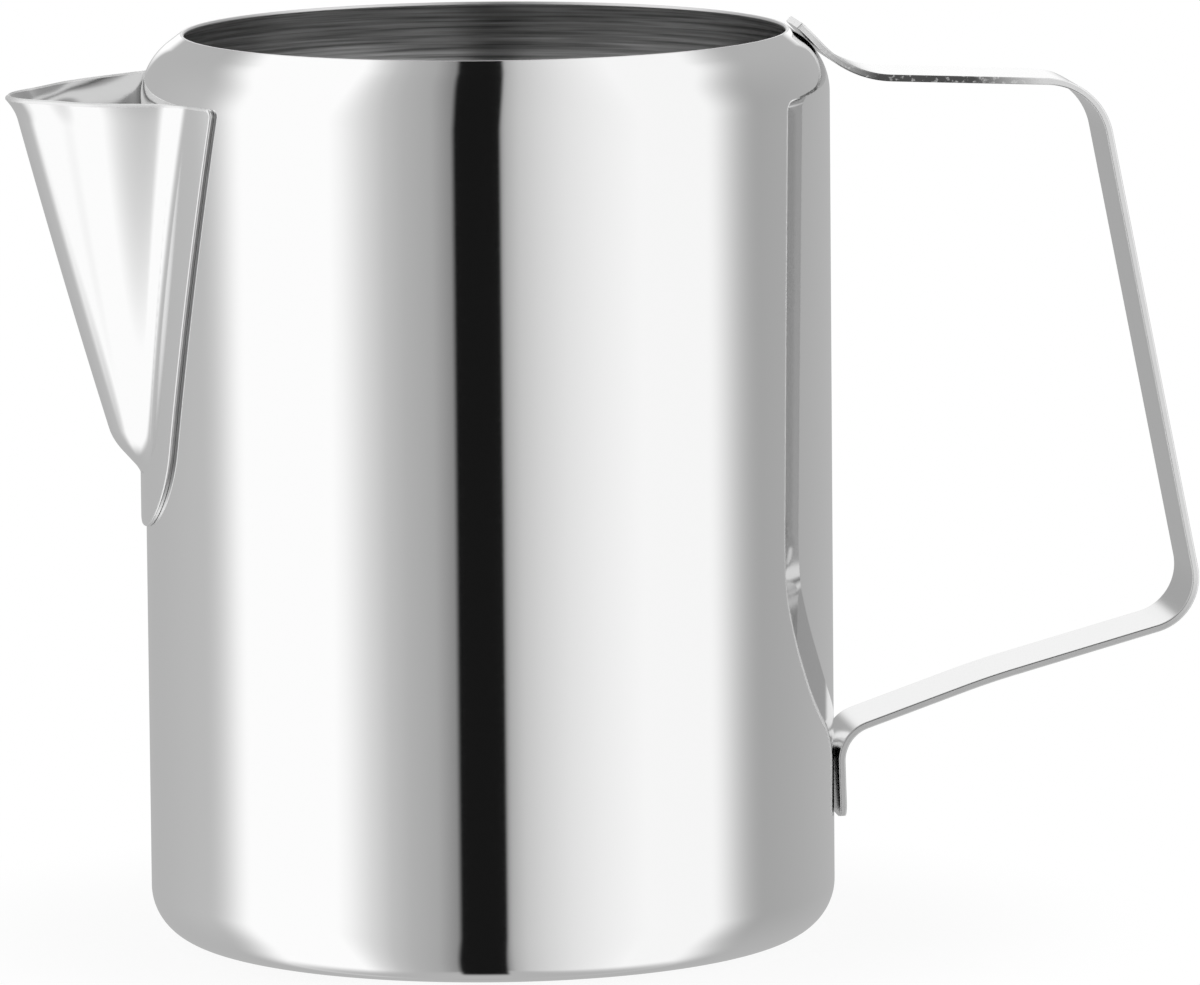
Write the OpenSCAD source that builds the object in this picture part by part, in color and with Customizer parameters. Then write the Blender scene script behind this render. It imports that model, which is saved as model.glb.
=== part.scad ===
// Milk jug in polished stainless steel: a drawn round body with a drawn-in
// shoulder, a V-shaped spout welded over a field of strainer holes, and a bent
// flat strap for a handle. Millimetres, +Z up. The origin is the centre of the
// ring that the jug stands on; the handle points to +X and the spout to -X.

/* [Body] */
// Outer diameter of the straight wall
body_d = 99; // [85:0.5:120]
// Height of the rim above the table
body_h = 131.2; // [115:0.1:170]
// Thickness of the sheet that the body is drawn from
body_t = 0.7; // [0.5:0.1:1]
// How far the shoulder draws the rim in from the wall
shoulder_in = 6; // [5.5:0.5:9]
// Outer radius of the bend from the wall into the shoulder
shoulder_r = 9.5; // [7:0.5:11]
// Lean of the shoulder's straight part, from the vertical
shoulder_lean = 53; // [47:1:57]
// Outer radius of the bend from the wall into the base
base_r = 7.5; // [5:0.5:10]
// Width of the flat ring that the jug stands on
foot_ring_w = 6; // [4:0.5:10]
// Depth of the panel that is pressed up into the base, inside that ring
recess_depth = 1.5; // [1:0.1:3]

/* [Strainer] */
// Height of the lowest row of holes, as a share of the spout's hollow
holes_from = 0.22; // [0.18:0.01:0.3]
// Height of the highest row of holes, as a share of the spout's hollow
holes_to = 0.64; // [0.5:0.01:0.75]
// Diameter of a hole, as a share of the distance between neighbouring holes
hole_share = 0.68; // [0.5:0.01:0.75]

/* [Spout] */
// How far the pouring lip stands out from the wall
spout_out = 19.8; // [16:0.1:25]
// How far the pouring lip lies below the rim
spout_drop = 8.3; // [6:0.1:12]
// Rise of the lip's edge from its tip to the body
spout_rise = 1; // [0:0.1:2]
// How much higher the lip's edge meets the body on one side than at its middle
lip_skew = 0.6; // [0:0.05:0.8]
// How far the nose stands out from the wall where it turns in
nose_foot_out = 4.9; // [3.5:0.1:7]
// Height at which the nose turns in, above the flange's lower end
nose_foot_rise = 12.5; // [11:0.1:15]
// Outward bow of the nose between its foot and its lip
nose_bow = 0.25; // [0:0.05:0.6]
// Lean from the horizontal of the short slope below the nose
nose_toe_slope = 48; // [38:1:60]
// Outer radius of the nose at the lip, seen from above
nose_r = 8.4; // [6:0.1:12]
// Outer radius of the nose at its foot
nose_foot_r = 7.3; // [5:0.1:10]
// How far the flanks bow outward at the lip, between the nose and the flange
flank_bow = 2.5; // [0:0.1:3]
// How far the lip curls outward at its tip
lip_flare = 1.1; // [0:0.1:1.6]
// Height of the curl
lip_flare_h = 3.4; // [2:0.2:5]
// Thickness of the sheet that the spout is bent from
spout_t = 0.7; // [0.5:0.1:1]
// Width of the flange that is welded to the body
flange_w = 7.8; // [6:0.1:8.5]
// Radius of the flange's rounded lower end
flange_toe_r = 16.5; // [15.5:0.1:18]
// Height of that lower end above the table
flange_toe_h = 60.7; // [55:0.1:64]
// Slope of the flange's long edges from the vertical
flange_slope = 14.4; // [12:0.2:15]
// Radius of the flange's top corners
flange_corner_r = 1.3; // [0.8:0.1:3]
// Width over which the flanks blend into the flange at the lip
lip_blend = 2.2; // [1.5:0.1:3]
// Width of that blend at the spout's lower end, and of the turn in the nose there
toe_blend = 1; // [0.8:0.1:1.5]

/* [Handle] */
// Width of the strap
strap_w = 15; // [10:0.5:20]
// Thickness of the strap
strap_t = 1; // [0.8:0.1:1.6]
// Lean of the upper tab from the horizontal
tab_slope = 46.5; // [44:0.5:50]
// Length of the upper tab above the line where it rests on the shoulder
tab_reach = 3.4; // [2:0.2:5]
// How far the upper leg's inner end lies below the rim
upper_leg_drop = 7.2; // [5.6:0.1:9]
// How far the upper corner stands out from the wall
upper_corner_out = 38.8; // [33:0.1:46]
// How far the upper corner lies below the rim
upper_corner_drop = 8.9; // [7:0.1:12]
// How far the lower corner stands out from the wall
lower_corner_out = 53.9; // [48:0.1:58]
// Height of the lower corner
lower_corner_h = 44.4; // [40:0.1:50]
// How far the slight bend in the lower leg stands out from the wall
kink_out = 22.3; // [18:0.1:27]
// Height of that bend
kink_h = 35.8; // [34.5:0.1:37]
// Height at which the lower leg meets the foot tab
foot_corner_h = 28.3; // [25:0.1:30]
// Height of the foot tab's lower end
foot_low_h = 16.1; // [12:0.1:19]
// Lean of the foot tab away from the wall
foot_lean = 1.5; // [0:0.5:3]
// Radius of the bend below the upper tab, on the strap's middle line
tab_bend_r = 15; // [10:0.5:16]
// Radius of the upper corner
upper_bend_r = 9.5; // [6:0.1:13]
// Radius of the lower corner
lower_bend_r = 7.6; // [5:0.1:10]
// Radius of the slight bend in the lower leg
kink_bend_r = 120; // [60:10:140]
// Radius of the bend into the foot tab
foot_bend_r = 5.5; // [4:0.5:7]

/* [Hidden] */

steel = [0.80, 0.81, 0.82];
bright_steel = [0.86, 0.87, 0.88];
strap_steel = [0.74, 0.75, 0.77];

// Weld gap between pieces that are joined, and overrun of every cut
weld_gap = 0.05;
overrun = 2;

wall_r = body_d / 2;
mouth_r = wall_r - shoulder_in;
recess_r = wall_r - base_r - foot_ring_w;
spout_h = body_h - spout_drop;

// The shoulder's bend ends here, and its straight part runs on to the rim
shoulder_bend_r = wall_r - shoulder_r * (1 - cos(shoulder_lean));
shoulder_cone_h = (shoulder_bend_r - mouth_r) / tan(shoulder_lean);
shoulder_h = body_h - shoulder_cone_h - shoulder_r * sin(shoulder_lean);

$fn = 180;

function clamp01(x) = max(0, min(1, x));
function smooth_max(a, b, k) = max(a, b) + k / 4 * pow(max(k - abs(a - b), 0) / k, 2);
function smooth_min(a, b, k) = -smooth_max(-a, -b, k);

// Half outline of the body, set in everywhere by the given amount
module body_outline(inset, above) {
    bend_x = wall_r - shoulder_r;
    bend = shoulder_r - inset;
    arc_end = [bend_x + bend * cos(shoulder_lean), shoulder_h + bend * sin(shoulder_lean)];
    rim_x = mouth_r - inset / cos(shoulder_lean) - above * tan(shoulder_lean);
    translate([0, inset])
        square([wall_r - base_r, shoulder_h - inset]);
    translate([0, base_r])
        square([wall_r - inset, shoulder_h - base_r]);
    translate([wall_r - base_r, base_r])
        circle(r = base_r - inset);
    intersection() {
        translate([bend_x, shoulder_h])
            circle(r = bend);
        polygon([
            [bend_x, shoulder_h],
            [wall_r + overrun, shoulder_h],
            [wall_r + overrun, arc_end[1] + (wall_r + overrun - arc_end[0]) * tan(shoulder_lean)],
            arc_end
        ]);
    }
    polygon([
        [0, shoulder_h], [bend_x, shoulder_h], arc_end,
        [rim_x, body_h + above], [0, body_h + above]
    ]);
}

// The raised panel of the base: its underside, or its upper side one sheet higher
flank_slope = 45;
module base_panel(sheet) {
    flank = recess_r + sheet * tan(flank_slope / 2);
    translate([0, 0, sheet])
        cylinder(h = recess_depth, r1 = flank, r2 = flank - recess_depth / tan(flank_slope));
}

// Holes in each row of the strainer, from the lowest up, behind the spout's hollow
hole_rows = [1, 2, 3, 4, 3];
hollow_low = flange_toe_h + flange_w;
hollow_h = spout_h - hollow_low;
row_step = (holes_to - holes_from) * hollow_h / (len(hole_rows) - 1);
hole_pitch = row_step * 2 / sqrt(3);
hole_d = hole_share * hole_pitch;
hole_sides = 32;
module strainer_hole(along, height) {
    rotate([0, 0, 180 + along / wall_r * 180 / PI])
        translate([wall_r - overrun, 0, height])
            rotate([0, 90, 0])
                cylinder(h = 2 * overrun, d = hole_d, $fn = hole_sides);
}

module strainer_holes() {
    for (row = [0 : len(hole_rows) - 1])
        for (i = [1 : hole_rows[row]])
            strainer_hole(
                (i - (hole_rows[row] + 1) / 2) * hole_pitch,
                hollow_low + holes_from * hollow_h + row * row_step
            );
}

module body() {
    color(steel)
    difference() {
        rotate_extrude() body_outline(0, 0);
        difference() {
            rotate_extrude() body_outline(body_t, overrun);
            base_panel(body_t);
        }
        base_panel(0);
        translate([0, 0, -overrun])
            cylinder(h = overrun, r = recess_r);
        strainer_holes();
    }
}

// The spout is one sheet. Its flange lies on the wall, and inside the flange it
// swells into a cone-like V. Each point is found from its height and from its
// distance along the wall from the middle of the spout.
spout_reach = wall_r + spout_out;
nose_foot_reach = wall_r + nose_foot_out;
nose_foot_h = flange_toe_h + nose_foot_rise;
flange_r = wall_r + weld_gap + spout_t;
flange_mid_h = flange_toe_h + flange_toe_r;
fold_toe_r = flange_toe_r - flange_w;
fold_drop_share = 0.93;
function wall_angle(along) = along / flange_r * 180 / PI;
spout_foot_angle = 90 - flange_slope;

// Half width, measured along the wall, of a teardrop with this toe radius
function drop_half(toe_r, z) =
    z < flange_mid_h - toe_r ? 0 :
    z < flange_mid_h - toe_r * sin(flange_slope)
        ? sqrt(max(0, toe_r * toe_r - pow(z - flange_mid_h, 2)))
        : toe_r / cos(flange_slope) + (z - flange_mid_h) * tan(flange_slope);
function fold_half(z) = drop_half(fold_toe_r, z);
function corner_cut(z) =
    let (over = z - (spout_h - flange_corner_r))
    over <= 0 ? 0 : flange_corner_r - sqrt(max(0, pow(flange_corner_r, 2) - over * over));
function flange_half(z) = drop_half(flange_toe_r, z) - corner_cut(z);

// Distance of the nose from the axis: a bowed line with a short slope below it
function nose_line(z) =
    let (
        f = (z - nose_foot_h) / (spout_h - nose_foot_h),
        top = spout_reach - lip_flare,
        line = nose_foot_reach + f * (top - nose_foot_reach) + 4 * nose_bow * f * (1 - f),
        slope = nose_foot_reach + (z - nose_foot_h) / tan(nose_toe_slope)
    )
    smooth_min(line, slope, toe_blend);
function flare(z) = lip_flare * pow(clamp01((z - spout_h) / lip_flare_h + 1), 2);
function nose_share(z) = clamp01((z - nose_foot_h) / (spout_h - nose_foot_h));

// Distance from the axis of the bare V, inside its fold, at an angle from its middle.
// The nose is round, and no larger than fits between the folds. The flanks run from
// it to the folds in a bow that starts a little inside the nose's round part.
fit_share = 0.95;
bow_from = 0.78;
bow_peak = 0.46;
tiny = 0.001;
function vee(angle, z) =
    let (
        nose = nose_line(z),
        fold = wall_angle(fold_half(z)),
        depth = max(tiny, nose - flange_r * cos(fold)),
        width = flange_r * sin(fold),
        largest = (depth * depth + width * width) / (2 * depth),
        r = min(nose_foot_r + nose_share(z) * (nose_r - nose_foot_r), fit_share * largest),
        centre = nose - r,
        lean = atan2(width, r - depth) - acos(r / sqrt(width * width + pow(r - depth, 2))),
        start = atan2(r * sin(lean), centre + r * cos(lean)),
        t = clamp01((angle - bow_from * start) / max(tiny, fold - bow_from * start)),
        w = t < bow_peak ? t / bow_peak : (1 - t) / (1 - bow_peak),
        bow = flank_bow * nose_share(z) * w * w * (3 - 2 * w)
    )
    nose <= flange_r ? nose :
    angle < start
        ? bow + centre * cos(angle) + sqrt(max(0, r * r - pow(centre * sin(angle), 2)))
        : bow + (centre * cos(lean) + r) / cos(angle - lean);

// The V goes on sinking past its fold, so that it blends smoothly into the flange
function swell(z, along) =
    let (inside = min(abs(along), fold_half(z)))
    vee(wall_angle(inside), z) - fold_drop_share * (abs(along) - inside);

// Outer face of the sheet, from the height and the distance along the wall. The
// lip's edge isn't level: the lift that it needs fades out down the sheet.
lift_fade = 3;
function spout_face(z, along) =
    let (
        angle = wall_angle(along),
        rise = nose_share(z),
        blend = toe_blend + rise * (lip_blend - toe_blend),
        middle = clamp01(1 - abs(along) / max(fold_half(z), toe_blend)),
        r = smooth_max(swell(z, along), flange_r, blend) + flare(z) * middle,
        share = clamp01((r - flange_r) / (spout_reach - flange_r)),
        skew = lip_skew * max(-1, min(1, along / fold_half(spout_h))),
        lift = (spout_rise * (1 - share) - skew) * pow(rise, lift_fade)
    )
    [-r * cos(angle), -r * sin(angle), z + lift];

// The same sheet's inner face lies one thickness behind it, along the normal
sample = 0.05;
function spout_normal(z, along) =
    let (
        up = spout_face(z + sample, along) - spout_face(z - sample, along),
        side = spout_face(z, along + sample) - spout_face(z, along - sample),
        n = cross(up, side)
    )
    n / norm(n);
function spout_point(z, along, depth) = spout_face(z, along) + depth * spout_normal(z, along);

// Levels: round the lower end, up the V, and ever closer towards the lip
toe_steps = 14;
vee_steps = 14;
corner_steps = 6;
corner_crowding = 1.6;
toe_first = 4;
spout_levels = concat(
    [for (i = [0 : toe_steps])
        flange_mid_h - flange_toe_r * cos(toe_first + i / toe_steps * (spout_foot_angle - toe_first))],
    [for (i = [1 : vee_steps])
        let (low = flange_mid_h - flange_toe_r * cos(spout_foot_angle), high = spout_h - lip_flare_h)
        low + i / vee_steps * (high - low)],
    [for (i = [1 : corner_steps])
        spout_h - lip_flare_h * pow(1 - i / corner_steps, corner_crowding)]
);
across_steps = 40;

module spout() {
    rows = len(spout_levels);
    cols = across_steps + 1;
    sheet = rows * cols;
    points = [
        for (depth = [0, spout_t])
            for (z = spout_levels)
                for (j = [0 : across_steps])
                    spout_point(z, flange_half(z) * (2 * j / across_steps - 1), depth)
    ];
    outer = [
        for (i = [0 : rows - 2]) for (j = [0 : cols - 2])
            let (a = i * cols + j, b = a + 1, c = b + cols, d = a + cols)
            each [[a, b, c], [a, c, d]]
    ];
    inner = [for (f = outer) [f[0] + sheet, f[2] + sheet, f[1] + sheet]];
    rim = concat(
        [for (j = [0 : cols - 1]) j],
        [for (i = [1 : rows - 1]) i * cols + cols - 1],
        [for (j = [cols - 2 : -1 : 0]) (rows - 1) * cols + j],
        [for (i = [rows - 2 : -1 : 1]) i * cols]
    );
    edge = [
        for (k = [0 : len(rim) - 1])
            let (a = rim[k], b = rim[(k + 1) % len(rim)])
            each [[b, a, a + sheet], [b, a + sheet, b + sheet]]
    ];
    color(bright_steel)
        polyhedron(points = points, faces = concat(outer, inner, edge), convexity = 6);
}

// The strap's middle line runs straight between corners and is rounded at each.
// The upper tab rests on the shoulder's bend where the two have the same slope.
half_t = strap_t / 2;
upper_leg_h = body_h - upper_leg_drop;
upper_corner_reach = wall_r + upper_corner_out;
upper_corner_h = body_h - upper_corner_drop;
lower_corner_reach = wall_r + lower_corner_out;
kink_reach = wall_r + kink_out;
rest_lean = 90 - tab_slope;
rest_out = shoulder_r + weld_gap + half_t;
rest_x = wall_r - shoulder_r + rest_out * cos(rest_lean);
rest_h = shoulder_h + rest_out * sin(rest_lean);
tab_end = [rest_x - tab_reach * cos(tab_slope), rest_h + tab_reach * sin(tab_slope)];
leg_fall = (upper_leg_h - upper_corner_h) / (upper_corner_reach - wall_r);
tab_corner_x = (rest_h + rest_x * tan(tab_slope) - upper_leg_h - wall_r * leg_fall)
    / (tan(tab_slope) - leg_fall);
tab_corner = [tab_corner_x, upper_leg_h - (tab_corner_x - wall_r) * leg_fall];
foot_x = wall_r + weld_gap + half_t / cos(foot_lean);
foot_corner = [foot_x, foot_corner_h];
foot_end = [foot_x + (foot_corner_h - foot_low_h) * tan(foot_lean), foot_low_h];
strap_line = [
    tab_end,
    tab_corner,
    [upper_corner_reach, upper_corner_h],
    [lower_corner_reach, lower_corner_h],
    [kink_reach, kink_h],
    foot_corner,
    foot_end
];
strap_bends = [0, tab_bend_r, upper_bend_r, lower_bend_r, kink_bend_r, foot_bend_r, 0];

function heading(i) =
    let (d = strap_line[i + 1] - strap_line[i])
    atan2(d[1], d[0]);
function turn(i) =
    let (d = heading(i) - heading(i - 1))
    d > 180 ? d - 360 : d < -180 ? d + 360 : d;
function left_of(angle) = [-sin(angle), cos(angle)];

// One side of the strap round the bend at corner i: half a thickness to its left
// or, with a negative offset, to its right
bend_steps = 16;
function bend_side(i, offset) =
    let (
        r = strap_bends[i] * sign(turn(i)),
        along = [cos(heading(i - 1)), sin(heading(i - 1))],
        setback = strap_bends[i] * tan(abs(turn(i)) / 2),
        centre = strap_line[i] - setback * along + r * left_of(heading(i - 1))
    )
    [for (k = [0 : bend_steps])
        centre + (offset - r) * left_of(heading(i - 1) + k / bend_steps * turn(i))];
function strap_side(offset) =
    let (last = len(strap_line) - 1)
    concat(
        [strap_line[0] + offset * left_of(heading(0))],
        [for (i = [1 : last - 1]) each bend_side(i, offset)],
        [strap_line[last] + offset * left_of(heading(last - 1))]
    );

module handle() {
    left = strap_side(half_t);
    right = strap_side(-half_t);
    color(strap_steel)
        translate([0, strap_w / 2, 0])
            rotate([90, 0, 0])
                linear_extrude(strap_w)
                    polygon(concat(left, [for (i = [len(right) - 1 : -1 : 0]) right[i]]));
}

body();
spout();
handle();
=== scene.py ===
import math

import bpy
from mathutils import Matrix, Vector
from mathutils.geometry import delaunay_2d_cdt


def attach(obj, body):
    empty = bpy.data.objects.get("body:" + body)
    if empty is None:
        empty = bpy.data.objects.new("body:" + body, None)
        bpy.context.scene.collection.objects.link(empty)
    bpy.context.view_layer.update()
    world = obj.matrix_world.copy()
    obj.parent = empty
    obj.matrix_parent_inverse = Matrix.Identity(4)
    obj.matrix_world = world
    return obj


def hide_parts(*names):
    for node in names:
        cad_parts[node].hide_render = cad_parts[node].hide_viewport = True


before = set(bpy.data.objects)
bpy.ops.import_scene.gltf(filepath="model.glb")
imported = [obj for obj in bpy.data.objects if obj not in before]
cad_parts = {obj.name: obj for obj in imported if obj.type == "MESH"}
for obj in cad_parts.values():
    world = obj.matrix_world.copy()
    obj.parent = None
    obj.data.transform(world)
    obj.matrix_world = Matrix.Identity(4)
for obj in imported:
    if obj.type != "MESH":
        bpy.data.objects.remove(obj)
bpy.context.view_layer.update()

MM = 0.001

# Body, as in part.scad, in millimetres
WALL_R = 49.5
BODY_H = 131.2
BODY_T = 0.7
SHOULDER_IN = 6.0
SHOULDER_R = 9.5
SHOULDER_LEAN = math.radians(53)
BASE_R = 7.5
FOOT_RING_W = 6.0
RECESS_DEPTH = 1.5
RECESS_BEND_R = 1.2
RIM_ROUND = 0.3
MOUTH_R = WALL_R - SHOULDER_IN
RECESS_R = WALL_R - BASE_R - FOOT_RING_W
SHOULDER_BEND_R = WALL_R - SHOULDER_R * (1 - math.cos(SHOULDER_LEAN))
CONE_H = (SHOULDER_BEND_R - MOUTH_R) / math.tan(SHOULDER_LEAN)
SHOULDER_H = BODY_H - CONE_H - SHOULDER_R * math.sin(SHOULDER_LEAN)

# Spout
SPOUT_OUT = 19.8
SPOUT_DROP = 8.3
SPOUT_RISE = 1.0
LIP_SKEW = 0.6
NOSE_FOOT_OUT = 4.9
NOSE_FOOT_RISE = 12.5
NOSE_BOW = 0.25
NOSE_TOE_SLOPE = math.radians(48)
NOSE_R = 8.4
NOSE_FOOT_R = 7.3
FLANK_BOW = 2.5
LIP_FLARE = 1.1
LIP_FLARE_H = 3.4
SPOUT_T = 0.7
FLANGE_W = 7.8
FLANGE_TOE_R = 16.5
FLANGE_TOE_H = 60.7
FLANGE_SLOPE = math.radians(14.4)
FLANGE_CORNER_R = 1.3
LIP_BLEND = 2.2
TOE_BLEND = 1.0
FOLD_DROP_SHARE = 0.93
FIT_SHARE = 0.95
BOW_FROM = 0.78
BOW_PEAK = 0.46
LIFT_FADE = 3
WELD_GAP = 0.05
TINY = 0.00001
SPOUT_REACH = WALL_R + SPOUT_OUT
SPOUT_H = BODY_H - SPOUT_DROP
NOSE_FOOT_REACH = WALL_R + NOSE_FOOT_OUT
NOSE_FOOT_H = FLANGE_TOE_H + NOSE_FOOT_RISE
FLANGE_R = WALL_R + WELD_GAP + SPOUT_T
FLANGE_MID_H = FLANGE_TOE_H + FLANGE_TOE_R
FOLD_TOE_R = FLANGE_TOE_R - FLANGE_W

# The visible sheet's edge, rounder on the outside than on the inside
EDGE_ROUND = 0.32
INNER_EDGE_ROUND = 0.04

# Strainer holes, in rows behind the spout's hollow
HOLES_FROM = 0.22
HOLES_TO = 0.64
HOLE_SHARE = 0.68
HOLE_ROWS = (1, 2, 3, 4, 3)
HOLLOW_LOW = FLANGE_TOE_H + FLANGE_W
ROW_STEP = (HOLES_TO - HOLES_FROM) * (SPOUT_H - HOLLOW_LOW) / (len(HOLE_ROWS) - 1)
HOLE_PITCH = ROW_STEP * 2 / math.sqrt(3)
HOLE_D = HOLE_SHARE * HOLE_PITCH

# Handle; a corner is (out from the wall, up from the table), but the upper one is down from the rim
STRAP_W = 15.0
STRAP_T = 1.0
TAB_SLOPE = math.radians(46.5)
TAB_REACH = 3.4
UPPER_LEG_DROP = 7.2
UPPER_CORNER = (38.8, 8.9)
LOWER_CORNER = (53.9, 44.4)
KINK = (22.3, 35.8)
FOOT_CORNER_H = 28.3
FOOT_LOW_H = 16.1
FOOT_LEAN = math.radians(1.5)
STRAP_BENDS = (15.0, 9.5, 7.6, 120.0, 5.5)      # radii, from the upper tab down to the foot
STRAP_EDGE_R = 0.2
TAB_CORNER_R = 2.2

# The strap's edge: distances from the axis where the painted dark reflection on the upper leg starts and
# ends, the height that it lies above, and the height that the lower leg's painted shade lies below
PAINTED_DARK_START = (46, 56)
PAINTED_DARK_END = (70, 80)
PAINTED_DARK_H = (112, 113)
LOWER_LEG_SHADE_H = (43, 50)

# How finely the body is cut: round it, up its wall, and through its bends
TURNS = 360
WALL_ROWS = 50
BEND_STEPS = 36
INNER_BEND_STEPS = 24
BASE_STEPS = 40
INNER_BASE_STEPS = 20
SMALL_BEND_STEPS = 5
FLAT_STEPS = 3
WALL_STEP = (SHOULDER_H - BASE_R) / WALL_ROWS

# The part of the wall that holds the strainer holes: rows, and turns each side of the spout's middle
PATCH_ROWS = (22, 47)
PATCH_TURNS = 30
HOLE_SIDES = 40
HOLE_MARGIN = WALL_STEP / 3
HOLE_CENTRE_SHARE = 0.999       # a triangle centred within this share of a hole's radius lies in the hole

# How finely the spout and the handle are cut
SPOUT_COLS = 224
TOE_ROWS = 60
TOE_START = math.radians(1.5)   # the toe's very end is left out, since the sheet has no width there
VEE_ROWS = 110
LIP_ROWS = 30
LIP_ROWS_POWER = 1.8            # above 1, the lip's rows come closer together towards its top
OUTER_EDGE_STEPS = 5
INNER_EDGE_STEPS = 3
STRAP_BEND_STEPS = 24
STRAP_STEP = 2.0
STRAP_EDGE_STEPS = 4
TAB_CORNER_STEPS = 8
FLAT_NORMAL = 0.99              # a normal with more than this share in the thickness is on a flat face


def clamp01(x):
    return max(0.0, min(1.0, x))


def smooth_max(a, b, k):
    return max(a, b) + k / 4 * (max(k - abs(a - b), 0) / k) ** 2


def part_turn(k, count):
    """The angle of the k-th of count places round a circle."""
    return 2 * math.pi * k / count


class Surface:
    """Points in millimetres with exact normals, and faces with the number of their material."""

    def __init__(self):
        self.points, self.normals, self.faces, self.slots = [], [], [], []

    def point(self, place, normal):
        self.points.append(place)
        self.normals.append(normal)
        return len(self.points) - 1

    def face(self, corners, slot):
        self.faces.append(corners)
        self.slots.append(slot)

    def band(self, a, b, slots):
        """Faces between the rings of points that start at a and b, where the slot isn't None."""
        for k, slot in enumerate(slots):
            j = (k + 1) % len(slots)
            if slot is not None:
                self.face((a + k, a + j, b + j, b + k), slot)

    def piece(self, name, materials):
        """The surface as a smooth object, in metres."""
        mesh = bpy.data.meshes.new(name)
        mesh.from_pydata([Vector(p) * MM for p in self.points], [], self.faces)
        for material in materials:
            mesh.materials.append(material)
        mesh.polygons.foreach_set("material_index", self.slots)
        mesh.polygons.foreach_set("use_smooth", [True] * len(self.faces))
        mesh.update()
        mesh.normals_split_custom_set_from_vertices([Vector(n).normalized() for n in self.normals])
        piece = bpy.data.objects.new(name, mesh)
        bpy.context.scene.collection.objects.link(piece)
        return piece


# Shader nodes

def math_node(tree, kind, *values):
    """The result of a maths node on sockets and numbers."""
    node = tree.nodes.new("ShaderNodeMath")
    node.operation = kind
    for socket, value in zip(node.inputs, values):
        if isinstance(value, (int, float)):
            socket.default_value = value
        else:
            tree.links.new(value, socket)
    return node.outputs[0]


def map_range(tree, value, source, target=(0, 1), kind="LINEAR"):
    """Takes value from the source range to the target range, and keeps it there."""
    node = tree.nodes.new("ShaderNodeMapRange")
    node.interpolation_type = kind
    for name, number in zip(("From Min", "From Max", "To Min", "To Max"), (*source, *target)):
        node.inputs[name].default_value = number
    tree.links.new(value, node.inputs["Value"])
    return node.outputs["Result"]


def object_coords(tree):
    return tree.nodes.new("ShaderNodeTexCoord").outputs["Object"]


def noise(tree, scale, detail=2.0):
    """Noise on the object, with about this many spots in a metre along x, y and z."""
    stretch = tree.nodes.new("ShaderNodeMapping")
    stretch.inputs["Scale"].default_value = scale
    tree.links.new(object_coords(tree), stretch.inputs["Vector"])
    texture = tree.nodes.new("ShaderNodeTexNoise")
    texture.inputs["Scale"].default_value = 1.0
    texture.inputs["Detail"].default_value = detail
    tree.links.new(stretch.outputs["Vector"], texture.inputs["Vector"])
    return texture.outputs["Fac"]


# Materials

# Grains: spots in a metre along x, y and z
LEVEL_LINES = (60, 60, 9000)
COARSE_LINES = (60, 60, 3000)
CROSS_LINES = (9000, 60, 60)
BRUSHED_LINES = (12, 12, 1800)
SOFT_SPOTS = (60, 60, 60)
FINE_SPOTS = (700, 700, 700)

# The brushed inside: its streaks and their grey, which seldom comes near either end
STREAKS = (45, 45, 1800)
STREAK_DETAIL = 4.0
STREAK_GREY = (-0.35, 1.60)
QUARTER_TURN = 0.25

# The strap's edge: its grey, what the painted dark reflection on the upper leg, the light flecks in it and
# the painted shade on the lower leg change, and the flecks
EDGE_GREY = 0.95
PAINTED_DARK_BY = 0.84
FLECKS_LIGHTER = 0.50
LOWER_LEG_SHADE_BY = 0.35
FLECKS = (1800, 1800, 1800)
FLECK_DETAIL = 3.0
FLECK_EDGE = (0.56, 0.70)


def steel(name, grey, roughness, vary, grain, depth):
    """Steel with a very fine grain in its roughness and its bump, which is depth metres high."""
    material = bpy.data.materials.new(name)
    material.use_nodes = True
    tree = material.node_tree
    shader = tree.nodes["Principled BSDF"]
    shader.inputs["Metallic"].default_value = 1.0
    shader.inputs["Base Color"].default_value = (grey, grey, grey, 1)
    lines = noise(tree, grain)
    rough = map_range(tree, lines, (0, 1), (roughness - vary, roughness + vary))
    tree.links.new(rough, shader.inputs["Roughness"])
    bump = tree.nodes.new("ShaderNodeBump")
    bump.inputs["Strength"].default_value = 1.0
    bump.inputs["Distance"].default_value = depth
    tree.links.new(lines, bump.inputs["Height"])
    tree.links.new(bump.outputs["Normal"], shader.inputs["Normal"])
    return material


def brushed_inside():
    """Brushed round and round, so that highlights spread up and down, with uneven streaks."""
    material = steel("brushed_inside", grey=0.7, roughness=0.36, vary=0.05, grain=BRUSHED_LINES, depth=2e-6)
    tree = material.node_tree
    shader = tree.nodes["Principled BSDF"]
    shader.inputs["Anisotropic"].default_value = 1.0
    shader.inputs["Anisotropic Rotation"].default_value = QUARTER_TURN
    round_and_round = tree.nodes.new("ShaderNodeTangent")
    round_and_round.direction_type = "RADIAL"
    round_and_round.axis = "Z"
    tree.links.new(round_and_round.outputs["Tangent"], shader.inputs["Tangent"])
    grey = map_range(tree, noise(tree, STREAKS, STREAK_DETAIL), (0, 1), STREAK_GREY)
    tree.links.new(grey, shader.inputs["Base Color"])
    return material


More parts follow.
